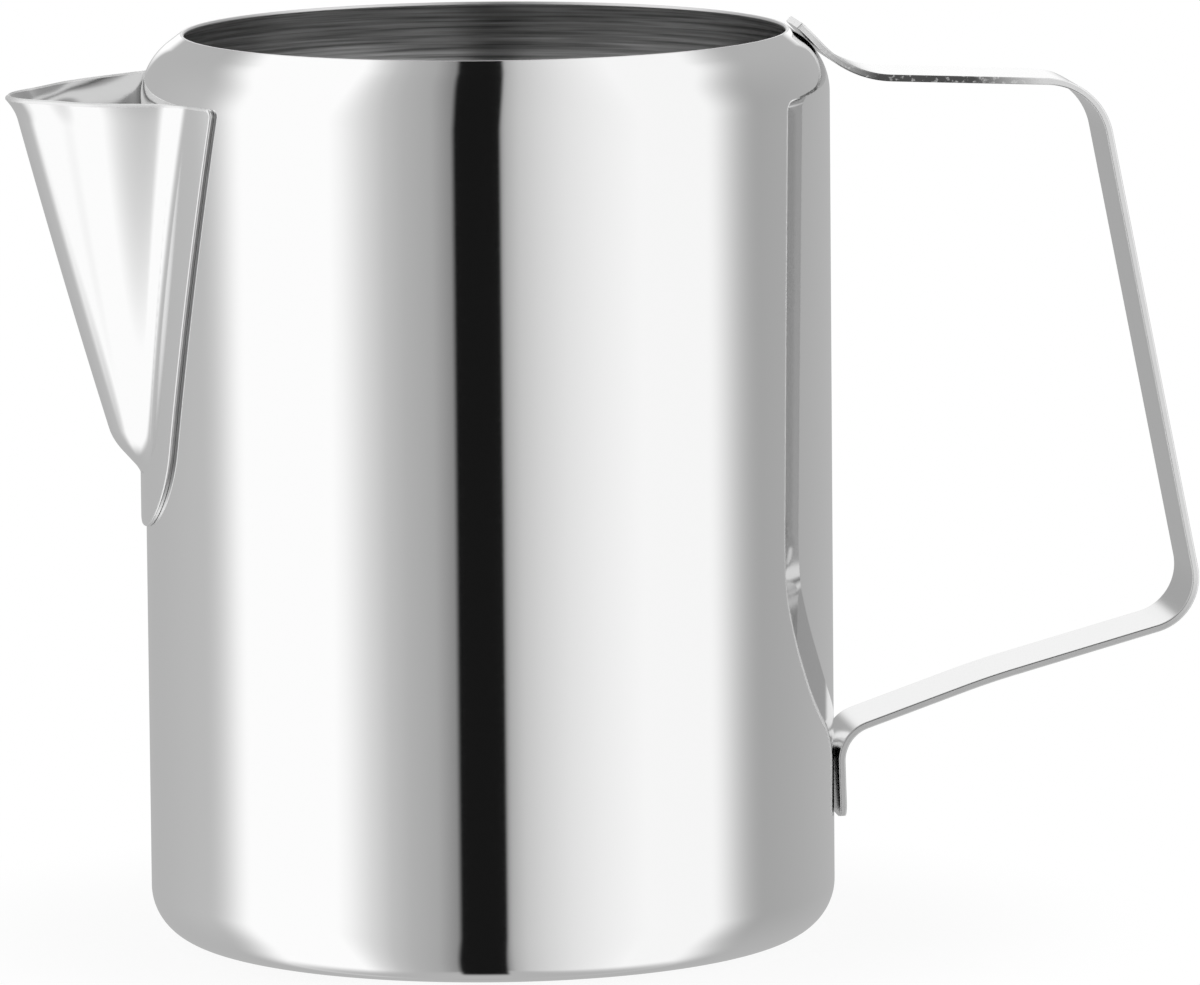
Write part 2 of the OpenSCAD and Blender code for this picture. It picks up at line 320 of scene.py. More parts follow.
def strap_edge():
    """The strap's sheared edge: bright along the grip, with painted shade along the lower leg and a painted
    dark reflection with light flecks along part of the upper leg.
    """
    material = steel("strap_edge", grey=EDGE_GREY, roughness=0.22, vary=0.05, grain=FINE_SPOTS, depth=2e-7)
    tree = material.node_tree
    split = tree.nodes.new("ShaderNodeSeparateXYZ")
    tree.links.new(object_coords(tree), split.inputs["Vector"])
    x, _, z = split.outputs

    def along(value, places, target=(0, 1)):
        return map_range(tree, value, [place * MM for place in places], target)

    # Painted dark reflection: the edge's grey is lowered along part of the upper leg, with light flecks in
    # it
    painted_dark = math_node(tree, "MULTIPLY", along(x, PAINTED_DARK_START), along(x, PAINTED_DARK_END, (1, 0)))
    painted_dark = math_node(tree, "MULTIPLY", painted_dark, along(z, PAINTED_DARK_H))
    flecks = map_range(tree, noise(tree, FLECKS, FLECK_DETAIL), FLECK_EDGE, (PAINTED_DARK_BY, PAINTED_DARK_BY - FLECKS_LIGHTER))
    # Painted shade: the edge's grey is lowered along the lower leg
    lower = along(z, LOWER_LEG_SHADE_H, (EDGE_GREY - LOWER_LEG_SHADE_BY, EDGE_GREY))
    grey = math_node(tree, "SUBTRACT", lower, math_node(tree, "MULTIPLY", painted_dark, flecks))
    tree.links.new(grey, tree.nodes["Principled BSDF"].inputs["Base Color"])
    return material


POLISHED = steel("polished_steel", grey=0.90, roughness=0.045, vary=0.02, grain=LEVEL_LINES, depth=2e-7)
BRUSHED = brushed_inside()
RIM = steel("rim", grey=0.75, roughness=0.35, vary=0.05, grain=FINE_SPOTS, depth=4e-7)
SPOUT_STEEL = steel("spout_steel", grey=0.90, roughness=0.06, vary=0.02, grain=LEVEL_LINES, depth=2e-7)
# Painted shade: the spout's inside is the same sheet as its outside, given a darker grey
SHADED_SPOUT_INSIDE = steel("spout_inside", grey=0.64, roughness=0.13, vary=0.03, grain=COARSE_LINES, depth=1e-6)
LIP_EDGE = steel("lip_edge", grey=0.90, roughness=0.40, vary=0.05, grain=FINE_SPOTS, depth=2e-7)
SPOUT_EDGE = steel("spout_edge", grey=0.88, roughness=0.30, vary=0.02, grain=SOFT_SPOTS, depth=1e-7)
STRAP_FACE = steel("strap_face", grey=0.66, roughness=0.12, vary=0.03, grain=CROSS_LINES, depth=3e-7)
STRAP_EDGE = strap_edge()

# Each piece's materials, and the number of each among them
BODY_MATERIALS = [POLISHED, BRUSHED, RIM]
BODY_OUTSIDE, BODY_INSIDE, BODY_RIM = range(3)
SPOUT_MATERIALS = [SPOUT_STEEL, SHADED_SPOUT_INSIDE, SPOUT_EDGE, LIP_EDGE]
SHEET_OUTSIDE, SHEET_INSIDE, SHEET_EDGE, SHEET_LIP = range(4)
HANDLE_MATERIALS = [STRAP_FACE, STRAP_EDGE]
FLAT_FACE, CUT_EDGE = range(2)


# Body

def moved(place, distance, direction):
    return (place[0] + distance * direction[0], place[1] + distance * direction[1])


def arc(centre, radius, start, end, steps, side=1):
    """Profile points and outward normals; side is -1 on the inside of the sheet."""
    rows = []
    for i in range(steps + 1):
        angle = math.radians(start + (end - start) * i / steps)
        direction = (math.cos(angle), math.sin(angle))
        rows.append((moved(centre, radius, direction), (side * direction[0], side * direction[1])))
    return rows


def line(a, b, normal, steps):
    return [((a[0] + (b[0] - a[0]) * i / steps, a[1] + (b[1] - a[1]) * i / steps), normal)
            for i in range(steps + 1)]


def shoulder_profile():
    """Above the wall: up the outside, over the rim, and down the inside."""
    lean = math.degrees(SHOULDER_LEAN)
    out = (math.cos(SHOULDER_LEAN), math.sin(SHOULDER_LEAN))
    up = (-math.sin(SHOULDER_LEAN), math.cos(SHOULDER_LEAN))
    bend = (WALL_R - SHOULDER_R, SHOULDER_H)
    bend_end = moved(bend, SHOULDER_R, out)
    cone = math.hypot(bend_end[0] - MOUTH_R, BODY_H - bend_end[1]) - RIM_ROUND
    cone_end = moved(bend_end, cone, up)
    rim_out = moved(cone_end, -RIM_ROUND, out)
    rim_in = moved(rim_out, 2 * RIM_ROUND - BODY_T, out)
    inner_end = moved(rim_in, -RIM_ROUND, out)
    inner_r = SHOULDER_R - BODY_T
    inner_start = moved(bend, inner_r, out)
    upper = arc(bend, SHOULDER_R, 0, lean, BEND_STEPS) + line(bend_end, cone_end, out, FLAT_STEPS)
    rim = arc(rim_out, RIM_ROUND, lean, lean + 90, SMALL_BEND_STEPS)
    rim += arc(rim_in, RIM_ROUND, lean + 90, lean + 180, SMALL_BEND_STEPS)
    inside = line(inner_end, inner_start, (-out[0], -out[1]), FLAT_STEPS)
    inside += arc(bend, inner_r, lean, 0, INNER_BEND_STEPS, -1)
    return upper, rim, inside


def base_profile():
    """Below the wall: out from the pressed-up panel and round the base, then back along the inside."""
    rb, t = RECESS_BEND_R, BODY_T
    base = (WALL_R - BASE_R, BASE_R)
    # The panel's side slopes at 45 degrees, and a flank is what each bend takes from a straight run
    flank = rb * math.tan(math.radians(45 / 2))
    panel_r = RECESS_R - RECESS_DEPTH - flank
    foot_r = RECESS_R + flank
    lower = line((0, RECESS_DEPTH), (panel_r, RECESS_DEPTH), (0, -1), FLAT_STEPS)
    lower += arc((panel_r, RECESS_DEPTH - rb), rb, 90, 45, SMALL_BEND_STEPS, -1)
    lower += arc((foot_r, rb), rb, 225, 270, SMALL_BEND_STEPS)
    lower += arc(base, BASE_R, -90, 0, BASE_STEPS)
    floor = arc(base, BASE_R - t, 0, -90, INNER_BASE_STEPS, -1)
    floor += arc((foot_r, t + rb), rb, 270, 225, SMALL_BEND_STEPS, -1)
    floor += arc((panel_r, t + RECESS_DEPTH - rb), rb, 45, 90, SMALL_BEND_STEPS)
    floor += line((panel_r, t + RECESS_DEPTH), (0, t + RECESS_DEPTH), (0, 1), FLAT_STEPS)
    return lower, floor


def drop_half(toe_r, z):
    """Half width of a drop shape at a height: a round toe, and straight sides that spread upwards."""
    if z < FLANGE_MID_H - toe_r:
        return 0.0
    if z < FLANGE_MID_H - toe_r * math.sin(FLANGE_SLOPE):
        return math.sqrt(max(0.0, toe_r ** 2 - (z - FLANGE_MID_H) ** 2))
    return toe_r / math.cos(FLANGE_SLOPE) + (z - FLANGE_MID_H) * math.tan(FLANGE_SLOPE)


def strainer_holes():
    """Hole centres as (distance along the wall from the spout's middle, height)."""
    low = HOLLOW_LOW + HOLES_FROM * (SPOUT_H - HOLLOW_LOW)
    return [
        ((i - (count - 1) / 2) * HOLE_PITCH, low + row * ROW_STEP)
        for row, count in enumerate(HOLE_ROWS)
        for i in range(count)
    ]


def strainer_patch():
    """The wall behind the spout laid flat: its corners, their places in the wall, triangles and hole rims.

    A corner is (distance along the wall, height). Its place is its (row, turn) in the wall's grid, or None.
    """
    holes = strainer_holes()
    corners, places, rims = [], [], []
    rows = range(PATCH_ROWS[0], PATCH_ROWS[1] + 1)
    turns = range(-PATCH_TURNS, PATCH_TURNS + 1)
    for row in rows:
        for turn in turns:
            corner = (part_turn(turn, TURNS) * WALL_R, BASE_R + row * WALL_STEP)
            border = row in (rows[0], rows[-1]) or turn in (turns[0], turns[-1])
            if border or all(math.dist(corner, hole) > HOLE_D / 2 + HOLE_MARGIN for hole in holes):
                corners.append(Vector(corner))
                places.append((row, TURNS // 2 + turn))
    for along, height in holes:
        rims.append(range(len(corners), len(corners) + HOLE_SIDES))
        for k in range(HOLE_SIDES):
            a = part_turn(k, HOLE_SIDES)
            corners.append(Vector((along + HOLE_D / 2 * math.cos(a), height + HOLE_D / 2 * math.sin(a))))
            places.append(None)
    edges = [(rim[k], rim[(k + 1) % HOLE_SIDES]) for rim in rims for k in range(HOLE_SIDES)]
    flat, _, triangles, origins, _, _ = delaunay_2d_cdt(corners, edges, [], 0, TINY)
    kept = []
    for triangle in triangles:
        centre = sum((flat[i] for i in triangle), Vector((0, 0))) / len(triangle)
        if all(math.dist(centre, hole) > HOLE_D / 2 * HOLE_CENTRE_SHARE for hole in holes):
            kept.append(triangle)
    flat_places = [places[olds[0]] if olds else None for olds in origins]
    number = {old: new for new, olds in enumerate(origins) for old in olds}
    return flat, flat_places, kept, [[number[i] for i in rim] for rim in rims]


def add_strainer(surface, wall_out, wall_in):
    """The wall behind the spout, on both faces, and the sides of the holes through it."""
    corners, places, triangles, rims = strainer_patch()
    layers = []
    faces = ((WALL_R, 1, wall_out, BODY_OUTSIDE), (WALL_R - BODY_T, -1, wall_in, BODY_INSIDE))
    for radius, side, rings, slot in faces:
        layer = []
        for (along, height), place in zip(corners, places):
            if place:
                layer.append(rings[place[0]] + place[1])
                continue
            a = math.pi + along / WALL_R
            c, s = math.cos(a), math.sin(a)
            layer.append(surface.point((radius * c, radius * s, height), (side * c, side * s, 0)))
        layers.append(layer)
        for triangle in triangles:
            surface.face(tuple(layer[i] for i in triangle[::side]), slot)
    for rim, (along, _) in zip(rims, strainer_holes()):
        middle = math.pi + along / WALL_R
        outer_rim = len(surface.points)
        for layer in layers:
            for n, i in enumerate(rim):
                a = part_turn(n, HOLE_SIDES)
                inward = (math.sin(middle) * math.cos(a), -math.cos(middle) * math.cos(a), -math.sin(a))
                surface.point(surface.points[layer[i]], inward)
        surface.band(outer_rim + HOLE_SIDES, outer_rim, [BODY_RIM] * HOLE_SIDES)


def in_patch(row, turn):
    return PATCH_ROWS[0] <= row < PATCH_ROWS[1] and abs(turn + 0.5 - TURNS // 2) < PATCH_TURNS


def add_ring(surface, place, normal):
    """A profile's point taken round the axis; gives the number of the first of its points."""
    first = len(surface.points)
    for turn in range(TURNS):
        a = part_turn(turn, TURNS)
        c, s = math.cos(a), math.sin(a)
        surface.point((place[0] * c, place[0] * s, place[1]), (normal[0] * c, normal[0] * s, normal[1]))
    return first


def revolve(surface, profile, slot):
    rings = [add_ring(surface, place, normal) for place, normal in profile]
    for a, b in zip(rings, rings[1:]):
        surface.band(a, b, [slot] * TURNS)


def revolve_wall(surface, radius, side, slot):
    """One face of the straight wall, open where the strainer's patch goes; gives its rings, upwards."""
    profile = line((radius, BASE_R), (radius, SHOULDER_H), (side, 0), WALL_ROWS)
    rings = [add_ring(surface, place, normal) for place, normal in profile]
    for row, pair in enumerate(zip(rings, rings[1:])):
        a, b = pair[::side]
        surface.band(a, b, [None if in_patch(row, turn) else slot for turn in range(TURNS)])
    return rings


def build_body():
    surface = Surface()
    upper, rim, inside = shoulder_profile()
    lower, floor = base_profile()
    revolve(surface, lower, BODY_OUTSIDE)
    wall_out = revolve_wall(surface, WALL_R, 1, BODY_OUTSIDE)
    revolve(surface, upper, BODY_OUTSIDE)
    revolve(surface, rim, BODY_RIM)
    revolve(surface, inside, BODY_INSIDE)
    wall_in = revolve_wall(surface, WALL_R - BODY_T, -1, BODY_INSIDE)
    revolve(surface, floor, BODY_INSIDE)
    add_strainer(surface, wall_out, wall_in)
    return surface.piece("jug_body", BODY_MATERIALS)


# Spout

def fold_half(z):
    return drop_half(FOLD_TOE_R, z)


def sheet_half(z):
    """Half width of the spout's sheet, along the wall, up to where its edge is rounded."""
    radius = FLANGE_CORNER_R - EDGE_ROUND
    over = max(0.0, z - (SPOUT_H - FLANGE_CORNER_R))
    return drop_half(FLANGE_TOE_R - EDGE_ROUND, z) - radius + math.sqrt(max(0.0, radius ** 2 - over ** 2))


def nose_line(z):
    f = (z - NOSE_FOOT_H) / (SPOUT_H - NOSE_FOOT_H)
    straight = NOSE_FOOT_REACH + f * (SPOUT_REACH - LIP_FLARE - NOSE_FOOT_REACH) + 4 * NOSE_BOW * f * (1 - f)
    slope = NOSE_FOOT_REACH + (z - NOSE_FOOT_H) / math.tan(NOSE_TOE_SLOPE)
    return -smooth_max(-straight, -slope, TOE_BLEND)


def nose_share(z):
    return clamp01((z - NOSE_FOOT_H) / (SPOUT_H - NOSE_FOOT_H))


def vee(angle, z):
    """Distance from the axis of the bare V, inside its fold: a round nose and bowed flanks."""
    nose = nose_line(z)
    if nose <= FLANGE_R:
        return nose
    fold = fold_half(z) / FLANGE_R
    depth, width = nose - FLANGE_R * math.cos(fold), FLANGE_R * math.sin(fold)
    r = NOSE_FOOT_R + nose_share(z) * (NOSE_R - NOSE_FOOT_R)
    r = min(r, FIT_SHARE * (depth * depth + width * width) / (2 * depth))
    centre = nose - r
    lean = math.atan2(width, r - depth) - math.acos(r / math.hypot(width, r - depth))
    start = math.atan2(r * math.sin(lean), centre + r * math.cos(lean))
    t = clamp01((angle - BOW_FROM * start) / max(TINY, fold - BOW_FROM * start))
    w = t / BOW_PEAK if t < BOW_PEAK else (1 - t) / (1 - BOW_PEAK)
    bow = FLANK_BOW * nose_share(z) * w * w * (3 - 2 * w)
    if angle < start:
        return bow + centre * math.cos(angle) + math.sqrt(max(0.0, r * r - (centre * math.sin(angle)) ** 2))
    return bow + (centre * math.cos(lean) + r) / math.cos(angle - lean)


def spout_face(z, along):
    """Outer face of the spout's sheet."""
    fold = fold_half(z)
    inside = min(abs(along), fold)
    rise = nose_share(z)
    swell = vee(inside / FLANGE_R, z) - FOLD_DROP_SHARE * (abs(along) - inside)
    middle = clamp01(1 - abs(along) / max(fold, TOE_BLEND))
    flare = LIP_FLARE * clamp01((z - SPOUT_H) / LIP_FLARE_H + 1) ** 2
    r = smooth_max(swell, FLANGE_R, TOE_BLEND + rise * (LIP_BLEND - TOE_BLEND)) + flare * middle
    share = clamp01((r - FLANGE_R) / (SPOUT_REACH - FLANGE_R))
    skew = LIP_SKEW * max(-1.0, min(1.0, along / fold_half(SPOUT_H)))
    lift = (SPOUT_RISE * (1 - share) - skew) * rise ** LIFT_FADE
    angle = along / FLANGE_R
    return Vector((-r * math.cos(angle), -r * math.sin(angle), z + lift))


def spout_inward(z, along, e=0.02):
    """The sheet's inward normal, from points a distance e to each side."""
    up = spout_face(z + e, along) - spout_face(z - e, along)
    side = spout_face(z, along + e) - spout_face(z, along - e)
    return up.cross(side).normalized()


def spout_levels():
    """Heights of the sheet's rows: round the toe, up the V, and closer together at the lip."""
    toe_turn = math.pi / 2 - FLANGE_SLOPE - TOE_START
    toe_r = FLANGE_TOE_R - EDGE_ROUND
    toe = [FLANGE_MID_H - toe_r * math.cos(TOE_START + i / TOE_ROWS * toe_turn) for i in range(TOE_ROWS + 1)]
    high, top = SPOUT_H - LIP_FLARE_H, SPOUT_H - EDGE_ROUND
    vee_part = [toe[-1] + i / VEE_ROWS * (high - toe[-1]) for i in range(1, VEE_ROWS + 1)]
    lip = [top - (top - high) * (1 - i / LIP_ROWS) ** LIP_ROWS_POWER for i in range(1, LIP_ROWS + 1)]
    return toe + vee_part + lip


def grid_border(rows, cols):
    """Numbers of a grid's border points: along the bottom, up, back along the top, and down."""
    bottom = list(range(cols))
    right = [row * cols + cols - 1 for row in range(1, rows)]
    top = [(rows - 1) * cols + col for col in range(cols - 2, -1, -1)]
    left = [row * cols for row in range(rows - 2, 0, -1)]
    return bottom + right + top + left


def edge_profile():
    """Across the sheet's edge: how far out each ring stands, how deep it lies, and where it faces."""
    rings = []
    for k in range(OUTER_EDGE_STEPS + 1):
        turn = math.radians(90 * k / OUTER_EDGE_STEPS - 90)
        rings.append((EDGE_ROUND * math.cos(turn), EDGE_ROUND * (1 + math.sin(turn)), turn))
    for k in range(INNER_EDGE_STEPS + 1):
        turn = math.radians(90 * k / INNER_EDGE_STEPS)
        far = EDGE_ROUND - INNER_EDGE_ROUND * (1 - math.cos(turn))
        rings.append((far, SPOUT_T - INNER_EDGE_ROUND * (1 - math.sin(turn)), turn))
    rings.append((0, SPOUT_T, math.radians(90)))
    return rings


def add_sheet_edge(surface, grid, inward, rows, cols):
    border = grid_border(rows, cols)
    count = len(border)
    outward = []
    for n, i in enumerate(border):
        along = grid[border[(n + 1) % count]] - grid[border[n - 1]]
        outward.append(along.cross(-inward[i]).normalized())
    lip = (rows - 1) * cols
    pairs = zip(border, border[1:] + border[:1])
    slots = [SHEET_LIP if min(pair) >= lip else SHEET_EDGE for pair in pairs]
    last = None
    for far, deep, turn in edge_profile():
        ring = len(surface.points)
        for out, i in zip(outward, border):
            place = grid[i] + far * out + deep * inward[i]
            surface.point(place, math.cos(turn) * out + math.sin(turn) * inward[i])
        if last is not None:
            surface.band(ring, last, slots)
        last = ring


def build_spout():
    surface = Surface()
    levels = spout_levels()
    rows, cols = len(levels), SPOUT_COLS + 1
    grid, inward = [], []
    for z in levels:
        half = sheet_half(z)
        for col in range(cols):
            along = half * (2 * col / SPOUT_COLS - 1)
            grid.append(spout_face(z, along))
            inward.append(spout_inward(z, along))
    for place, normal in zip(grid, inward):
        surface.point(place, -normal)
    for place, normal in zip(grid, inward):
        surface.point(place + SPOUT_T * normal, normal)
    for row in range(rows - 1):
        for col in range(cols - 1):
            a = row * cols + col
            b = a + len(grid)
            surface.face((a, a + 1, a + 1 + cols, a + cols), SHEET_OUTSIDE)
            surface.face((b, b + cols, b + 1 + cols, b + 1), SHEET_INSIDE)
    add_sheet_edge(surface, grid, inward, rows, cols)
    return surface.piece("jug_spout", SPOUT_MATERIALS)


# Handle

def left_of(heading):
    return Vector((-heading[1], heading[0]))


def turned(heading, angle):
    c, s = math.cos(angle), math.sin(angle)
    return Vector((heading[0] * c - heading[1] * s, heading[0] * s + heading[1] * c))


def strap_corners():
    """The strap's ends, and where its straight runs would meet, as (distance from the axis, height)."""
    half_t = STRAP_T / 2
    rest_lean = math.pi / 2 - TAB_SLOPE
    rest_out = SHOULDER_R + WELD_GAP + half_t
    rest_x = WALL_R - SHOULDER_R + rest_out * math.cos(rest_lean)
    rest = Vector((rest_x, SHOULDER_H + rest_out * math.sin(rest_lean)))
    leg_h = BODY_H - UPPER_LEG_DROP
    upper = Vector((WALL_R + UPPER_CORNER[0], BODY_H - UPPER_CORNER[1]))
    fall = (leg_h - upper[1]) / (upper[0] - WALL_R)
    tab = math.tan(TAB_SLOPE)
    corner_x = (rest[1] + rest[0] * tab - leg_h - WALL_R * fall) / (tab - fall)
    foot_x = WALL_R + WELD_GAP + half_t / math.cos(FOOT_LEAN)
    return [
        rest + TAB_REACH * Vector((-math.cos(TAB_SLOPE), math.sin(TAB_SLOPE))),
        Vector((corner_x, leg_h - (corner_x - WALL_R) * fall)),
        upper,
        Vector((WALL_R + LOWER_CORNER[0], LOWER_CORNER[1])),
        Vector((WALL_R + KINK[0], KINK[1])),
        Vector((foot_x, FOOT_CORNER_H)),
        Vector((foot_x + (FOOT_CORNER_H - FOOT_LOW_H) * math.tan(FOOT_LEAN), FOOT_LOW_H)),
    ]


def strap_path():
    """Places and headings along the strap's middle line: its ends, and the bends between them."""
    corners = strap_corners()
    path = [(corners[0], (corners[1] - corners[0]).normalized())]
    for last, corner, following, r in zip(corners, corners[1:], corners[2:], STRAP_BENDS):
        before, after = (corner - last).normalized(), (following - corner).normalized()
        turn = math.atan2(before[0] * after[1] - before[1] * after[0], before.dot(after))
        signed_r = math.copysign(r, turn)
        start = corner - r * math.tan(abs(turn) / 2) * before
        centre = start + signed_r * left_of(before)
        for k in range(STRAP_BEND_STEPS + 1):
            heading = turned(before, turn * k / STRAP_BEND_STEPS)
            path.append((centre - signed_r * left_of(heading), heading))
    path.append((corners[-1], (corners[-1] - corners[-2]).normalized()))
    return path


def strap_stations():
    """The strap's (distance from its start, place, heading) in short steps, closer at its round ends."""
    path = strap_path()
    stations = [(0.0, *path[0])]
    for (p, h), (q, g) in zip(path, path[1:]):
        steps = max(1, int((q - p).length / STRAP_STEP))
        for k in range(1, steps + 1):
            place, heading = p.lerp(q, k / steps), h.lerp(g, k / steps).normalized()
            distance = stations[-1][0] + (place - stations[-1][1]).length
            stations.append((distance, place, heading))
    _, start, start_heading = stations[0]
    length, end, end_heading = stations[-1]
    for k in range(1, TAB_CORNER_STEPS):
        s = TAB_CORNER_R * (1 - math.cos(math.pi / 2 * k / TAB_CORNER_STEPS))
        stations.append((s, start + s * start_heading, start_heading))
        stations.append((length - s, end - s * end_heading, end_heading))
    return sorted(stations, key=lambda station: station[0]), length


def strap_section():
    """Round the strap's section: (side, offset outwards, offset in thickness, normal)."""
    e = STRAP_EDGE_R
    section = []
    for side, up, start in ((1, -1, -90), (1, 1, 0), (-1, 1, 90), (-1, -1, 180)):
        for k in range(STRAP_EDGE_STEPS + 1):
            a = math.radians(start + 90 * k / STRAP_EDGE_STEPS)
            c, s = math.cos(a), math.sin(a)
            section.append((side, c * e, up * (STRAP_T / 2 - e) + s * e, (c, s)))
    return section


def on_flat_face(normal):
    return abs(normal[1]) > FLAT_NORMAL


def build_handle():
    surface = Surface()
    stations, length = strap_stations()
    section = strap_section()
    count = len(section)
    for distance, place, heading in stations:
        from_end = min(distance, length - distance)
        cut = 0.0
        if from_end < TAB_CORNER_R:
            cut = TAB_CORNER_R - math.sqrt(max(0.0, TAB_CORNER_R ** 2 - (TAB_CORNER_R - from_end) ** 2))
        left = left_of(heading)
        for side, outwards, thick, (c, s) in section:
            y = side * (STRAP_W / 2 - cut - STRAP_EDGE_R) + outwards
            x, z = place + thick * left
            surface.point((x, y, z), (left[0] * s, c, left[1] * s))
    slots = []
    for k, row in enumerate(section):
        both_flat = on_flat_face(row[3]) and on_flat_face(section[(k + 1) % count][3])
        slots.append(FLAT_FACE if both_flat else CUT_EDGE)
    for i in range(len(stations) - 1):
        surface.band(i * count, (i + 1) * count, slots)
    for end, i in ((-1, 0), (1, len(stations) - 1)):
        heading = stations[i][2]
        normal = (end * heading[0], 0, end * heading[1])
        cap = [surface.point(surface.points[i * count + k], normal) for k in range(count)]
        surface.face(tuple(cap[::end]), CUT_EDGE)
    return surface.piece("jug_handle", HANDLE_MATERIALS)


for build, node, slot in (
    (build_body, "body", "polished_steel"),
    (build_spout, "spout", "spout_steel"),
    (build_handle, "handle", "strap_steel"),
):
    piece = build()
    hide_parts(node)
    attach(piece, "root")


# Studio

# The camera; directions in the studio are measured from its azimuth, to the right of the object
CAMERA_AZIMUTH = math.radians(7.5)
CAMERA_RISE = math.radians(7.871)
CAMERA_ROLL = math.radians(-0.516)
CAMERA_DISTANCE = 1.674
CAMERA_AIM = (0.01598, 0.06393)
CAMERA_SEES = 10
FOCAL_PIXELS = 11594.8
IMAGE_WIDTH = 1200

# Brightness of the soft cards round the jug, from far left (-1) to far right (1)
CARDS = (
    (-1.0, 1.08), (-0.80, 1.08), (-0.75, 0.99), (-0.65, 0.75), (-0.55, 0.57), (-0.45, 0.48), (-0.30, 0.415),
    (-0.19, 0.265), (0.09, 0.30), (0.12, 0.46), (0.16, 0.54), (0.20, 0.61), (0.30, 0.71), (0.45, 0.83),
    (0.60, 0.92), (0.80, 1.02), (1.0, 1.02),
)
CARD_SWELL = 0.07         # how much wider than round the cards stand overhead
CARD_LEAST_WIDTH = 0.15
STRIP_DARK = 0.009        # the black gap between the cards, in front of the jug
STRIP_EDGES = ((-0.196, -0.160), (0.104, 0.078))
STRIP_TILT = 0.012
STRIP_END = (0.42, 0.2)   # it fades out overhead, this far behind the jug
ROOM = 0.475              # the grey room behind the cards
ROOM_TINT = 0.08          # how much lighter it gets towards the left
ROOM_WIDTH, ROOM_HEIGHT, ROOM_DROP = math.radians(85.5), math.radians(47), math.radians(4)
ROOM_SKEW = 0.05          # how much larger it looks on the right than on the left
ROOM_EDGE = (1.65, 0.47)
COLUMN_ACROSS = (math.radians(55), math.radians(15))      # the room runs down to the floor here
COLUMN_DOWN = (math.radians(-30), math.radians(-55))
BACKDROP = 1.15           # the white backdrop, seen past the jug
BACKDROP_WIDTH, BACKDROP_RISE, BACKDROP_HEIGHT = math.radians(13), math.radians(16), math.radians(16)
BACKDROP_EDGE = (2.4, 0.3)
OVAL_POWER = 4.0          # makes the room and the backdrop nearly rectangular

# The table, in metres: white where the camera sees it, with the jug's shadow on its middle
TABLE_R = 1.6
TABLE_SIDES = 96
TABLE_GAP = 0.0001
TABLE_GREY = 0.95
SHADOW_FADE = (0.05, 0.10)
SHADOW_HIDDEN = (0.90, 1.0)


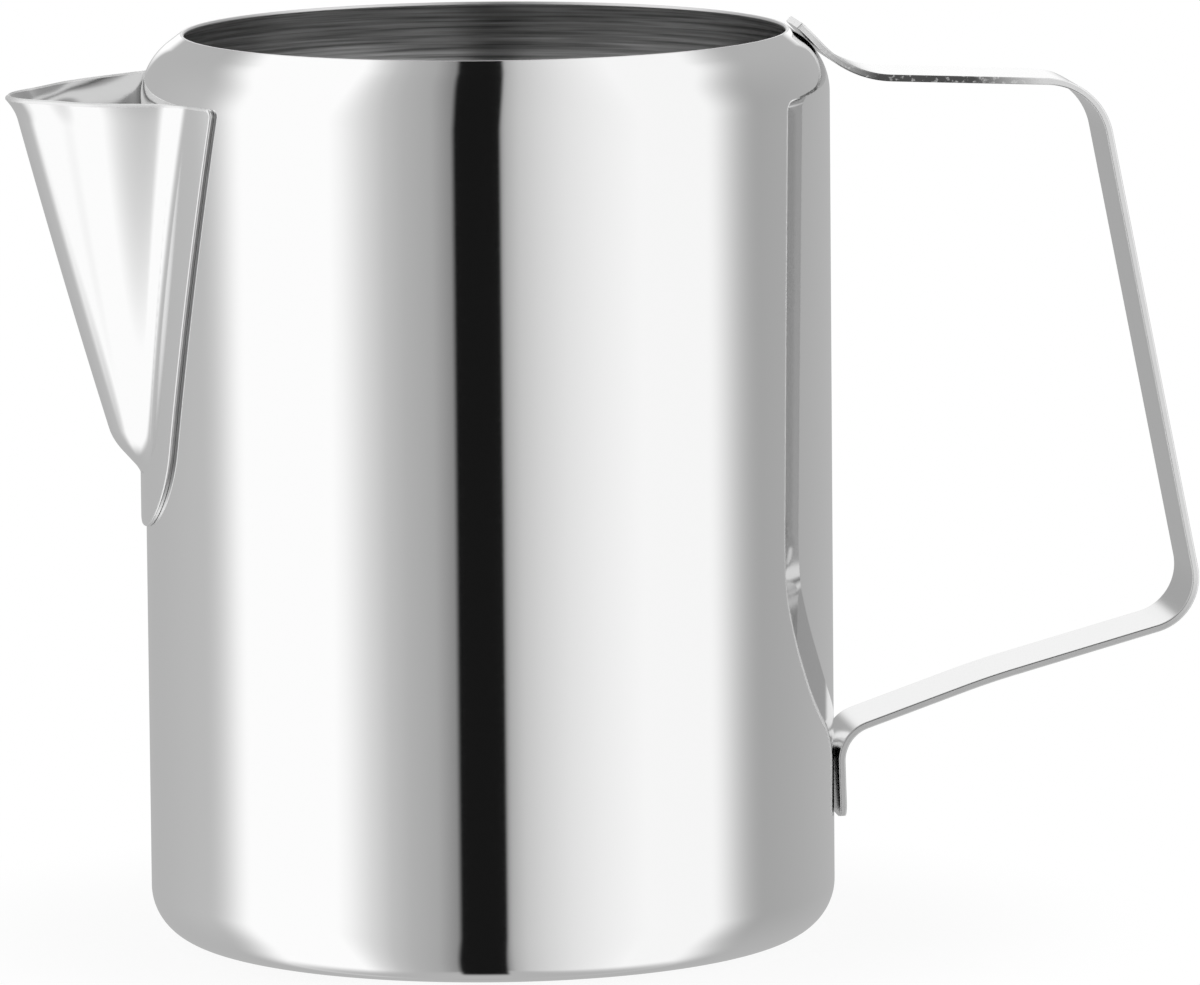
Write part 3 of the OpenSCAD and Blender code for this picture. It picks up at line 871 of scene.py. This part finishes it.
def world_studio():
    world = bpy.data.worlds.new("studio")
    bpy.context.scene.world = world
    world.use_nodes = True
    tree = world.node_tree
    tree.nodes.clear()

    def calc(kind, *values):
        return math_node(tree, kind, *values)

    def smooth(value, low, high):
        """0 at low, 1 at high, whichever of them is larger."""
        target = (0, 1) if low < high else (1, 0)
        return map_range(tree, value, sorted((low, high)), target, "SMOOTHSTEP")

    def mix(share, a, b):
        return calc("MULTIPLY_ADD", calc("SUBTRACT", b, a), share, a)

    def oval(across, up, edge):
        """1 inside a soft-edged oval that reaches 1 across and 1 up, 0 outside it."""
        across, up = (calc("POWER", calc("ABSOLUTE", value), OVAL_POWER) for value in (across, up))
        return smooth(calc("ADD", across, up), *edge)

    # How far a direction points to the camera's right, away from it, and up
    turn = tree.nodes.new("ShaderNodeVectorRotate")
    turn.rotation_type = "Z_AXIS"
    turn.inputs["Angle"].default_value = CAMERA_AZIMUTH
    tree.links.new(tree.nodes.new("ShaderNodeTexCoord").outputs["Generated"], turn.inputs["Vector"])
    split = tree.nodes.new("ShaderNodeSeparateXYZ")
    tree.links.new(turn.outputs["Vector"], split.inputs["Vector"])
    x, away, z = split.outputs
    height = calc("ARCSINE", z)
    from_back = calc("ARCTAN2", calc("ABSOLUTE", x), away)

    # The cards stand on arcs that run from under the jug, past the camera and overhead
    arc_angle = calc("ARCTAN2", z, calc("MULTIPLY", away, -1.0))
    width = calc("MULTIPLY_ADD", calc("COSINE", arc_angle), 0.5, 0.5)
    swell = calc("MULTIPLY_ADD", calc("POWER", calc("SINE", arc_angle), 2.0), CARD_SWELL, 1.0)
    across = calc("DIVIDE", x, calc("MAXIMUM", calc("MULTIPLY", width, swell), CARD_LEAST_WIDTH))
    ramp = tree.nodes.new("ShaderNodeValToRGB")
    elements = ramp.color_ramp.elements
    while len(elements) < len(CARDS):
        elements.new(0.5)
    for element, (place, value) in zip(elements, CARDS):
        element.position = (place + 1) / 2
        element.color = (value, value, value, 1)
    tree.links.new(calc("MULTIPLY_ADD", across, 0.5, 0.5), ramp.inputs["Fac"])
    light = ramp.outputs["Color"]

    # Behind them the grey room, with the white backdrop in it
    size = calc("MULTIPLY_ADD", calc("SIGN", x), ROOM_SKEW, 1.0)
    room_across = calc("DIVIDE", from_back, calc("MULTIPLY", size, ROOM_WIDTH))
    room_up = calc("DIVIDE", calc("ADD", height, ROOM_DROP), calc("MULTIPLY", size, ROOM_HEIGHT))
    column = calc("MULTIPLY", smooth(from_back, *COLUMN_ACROSS), smooth(height, *COLUMN_DOWN))
    grey = calc("MULTIPLY_ADD", calc("MULTIPLY", calc("MULTIPLY", x, x), x), -ROOM_TINT, ROOM)
    light = mix(calc("MAXIMUM", oval(room_across, room_up, ROOM_EDGE), column), light, grey)
    drop_across = calc("DIVIDE", from_back, BACKDROP_WIDTH)
    drop_up = calc("DIVIDE", calc("SUBTRACT", height, BACKDROP_RISE), BACKDROP_HEIGHT)
    light = mix(oval(drop_across, drop_up, BACKDROP_EDGE), light, BACKDROP)

    # The black gap between the cards
    leaned = calc("MULTIPLY_ADD", z, -STRIP_TILT, across)
    strip = calc("MULTIPLY", smooth(leaned, *STRIP_EDGES[0]), smooth(leaned, *STRIP_EDGES[1]))
    strip = calc("MULTIPLY", strip, smooth(away, *STRIP_END))
    light = mix(strip, light, STRIP_DARK)

    # The camera itself sees plain white
    path = tree.nodes.new("ShaderNodeLightPath")
    light = mix(path.outputs["Is Camera Ray"], light, 1.0)
    background = tree.nodes.new("ShaderNodeBackground")
    background.inputs["Color"].default_value = (1, 1, 1, 1)
    tree.links.new(light, background.inputs["Strength"])
    output = tree.nodes.new("ShaderNodeOutputWorld")
    tree.links.new(background.outputs["Background"], output.inputs["Surface"])


def table_material():
    """White with the jug's soft shadow, fading into the white backdrop."""
    material = bpy.data.materials.new("table")
    material.use_nodes = True
    tree = material.node_tree
    tree.nodes.clear()

    def mix_shader(share, a, b):
        node = tree.nodes.new("ShaderNodeMixShader")
        for socket, value in zip(node.inputs, (share, a, b)):
            tree.links.new(value, socket)
        return node.outputs[0]

    distance = tree.nodes.new("ShaderNodeVectorMath")
    distance.operation = "LENGTH"
    tree.links.new(object_coords(tree), distance.inputs[0])
    fade = map_range(tree, distance.outputs["Value"], SHADOW_FADE, SHADOW_HIDDEN, "SMOOTHSTEP")
    matte = tree.nodes.new("ShaderNodeBsdfDiffuse")
    matte.inputs["Color"].default_value = (TABLE_GREY, TABLE_GREY, TABLE_GREY, 1)
    white = tree.nodes.new("ShaderNodeEmission")
    white.inputs["Color"].default_value = (1, 1, 1, 1)
    shown = mix_shader(fade, matte.outputs[0], white.outputs[0])
    # The polished steel sees the studio and its white backdrop through the table
    clear = tree.nodes.new("ShaderNodeBsdfTransparent")
    path = tree.nodes.new("ShaderNodeLightPath")
    output = tree.nodes.new("ShaderNodeOutputMaterial")
    seen = mix_shader(path.outputs["Is Camera Ray"], clear.outputs[0], shown)
    tree.links.new(seen, output.inputs["Surface"])
    return material


def add_table():
    mesh = bpy.data.meshes.new("table")
    angles = [part_turn(k, TABLE_SIDES) for k in range(TABLE_SIDES)]
    border = [(TABLE_R * math.cos(a), TABLE_R * math.sin(a), 0) for a in angles]
    mesh.from_pydata(border, [], [tuple(range(TABLE_SIDES))])
    mesh.materials.append(table_material())
    table = bpy.data.objects.new("table", mesh)
    bpy.context.scene.collection.objects.link(table)
    table.location.z = -TABLE_GAP


def add_camera():
    """The photograph's camera, fitted to the body's outlines."""
    data = bpy.data.cameras.new("camera")
    camera = bpy.data.objects.new("camera", data)
    bpy.context.scene.collection.objects.link(camera)
    data.lens = FOCAL_PIXELS / IMAGE_WIDTH * data.sensor_width
    data.clip_end = CAMERA_SEES
    a, e, r = CAMERA_AZIMUTH, CAMERA_RISE, CAMERA_ROLL
    back = Vector((-math.sin(a) * math.cos(e), -math.cos(a) * math.cos(e), math.sin(e)))
    right = Vector((math.cos(a), -math.sin(a), 0))
    up = back.cross(right)
    right, up = math.cos(r) * right + math.sin(r) * up, math.cos(r) * up - math.sin(r) * right
    aim = Vector((CAMERA_AIM[0] * math.cos(a), -CAMERA_AIM[0] * math.sin(a), CAMERA_AIM[1]))
    place = Matrix((right, up, back)).transposed().to_4x4()
    place.translation = aim + CAMERA_DISTANCE * back
    camera.matrix_world = place
    bpy.context.scene.camera = camera


world_studio()
add_table()
add_camera()
bpy.context.scene.view_settings.view_transform = "Standard"
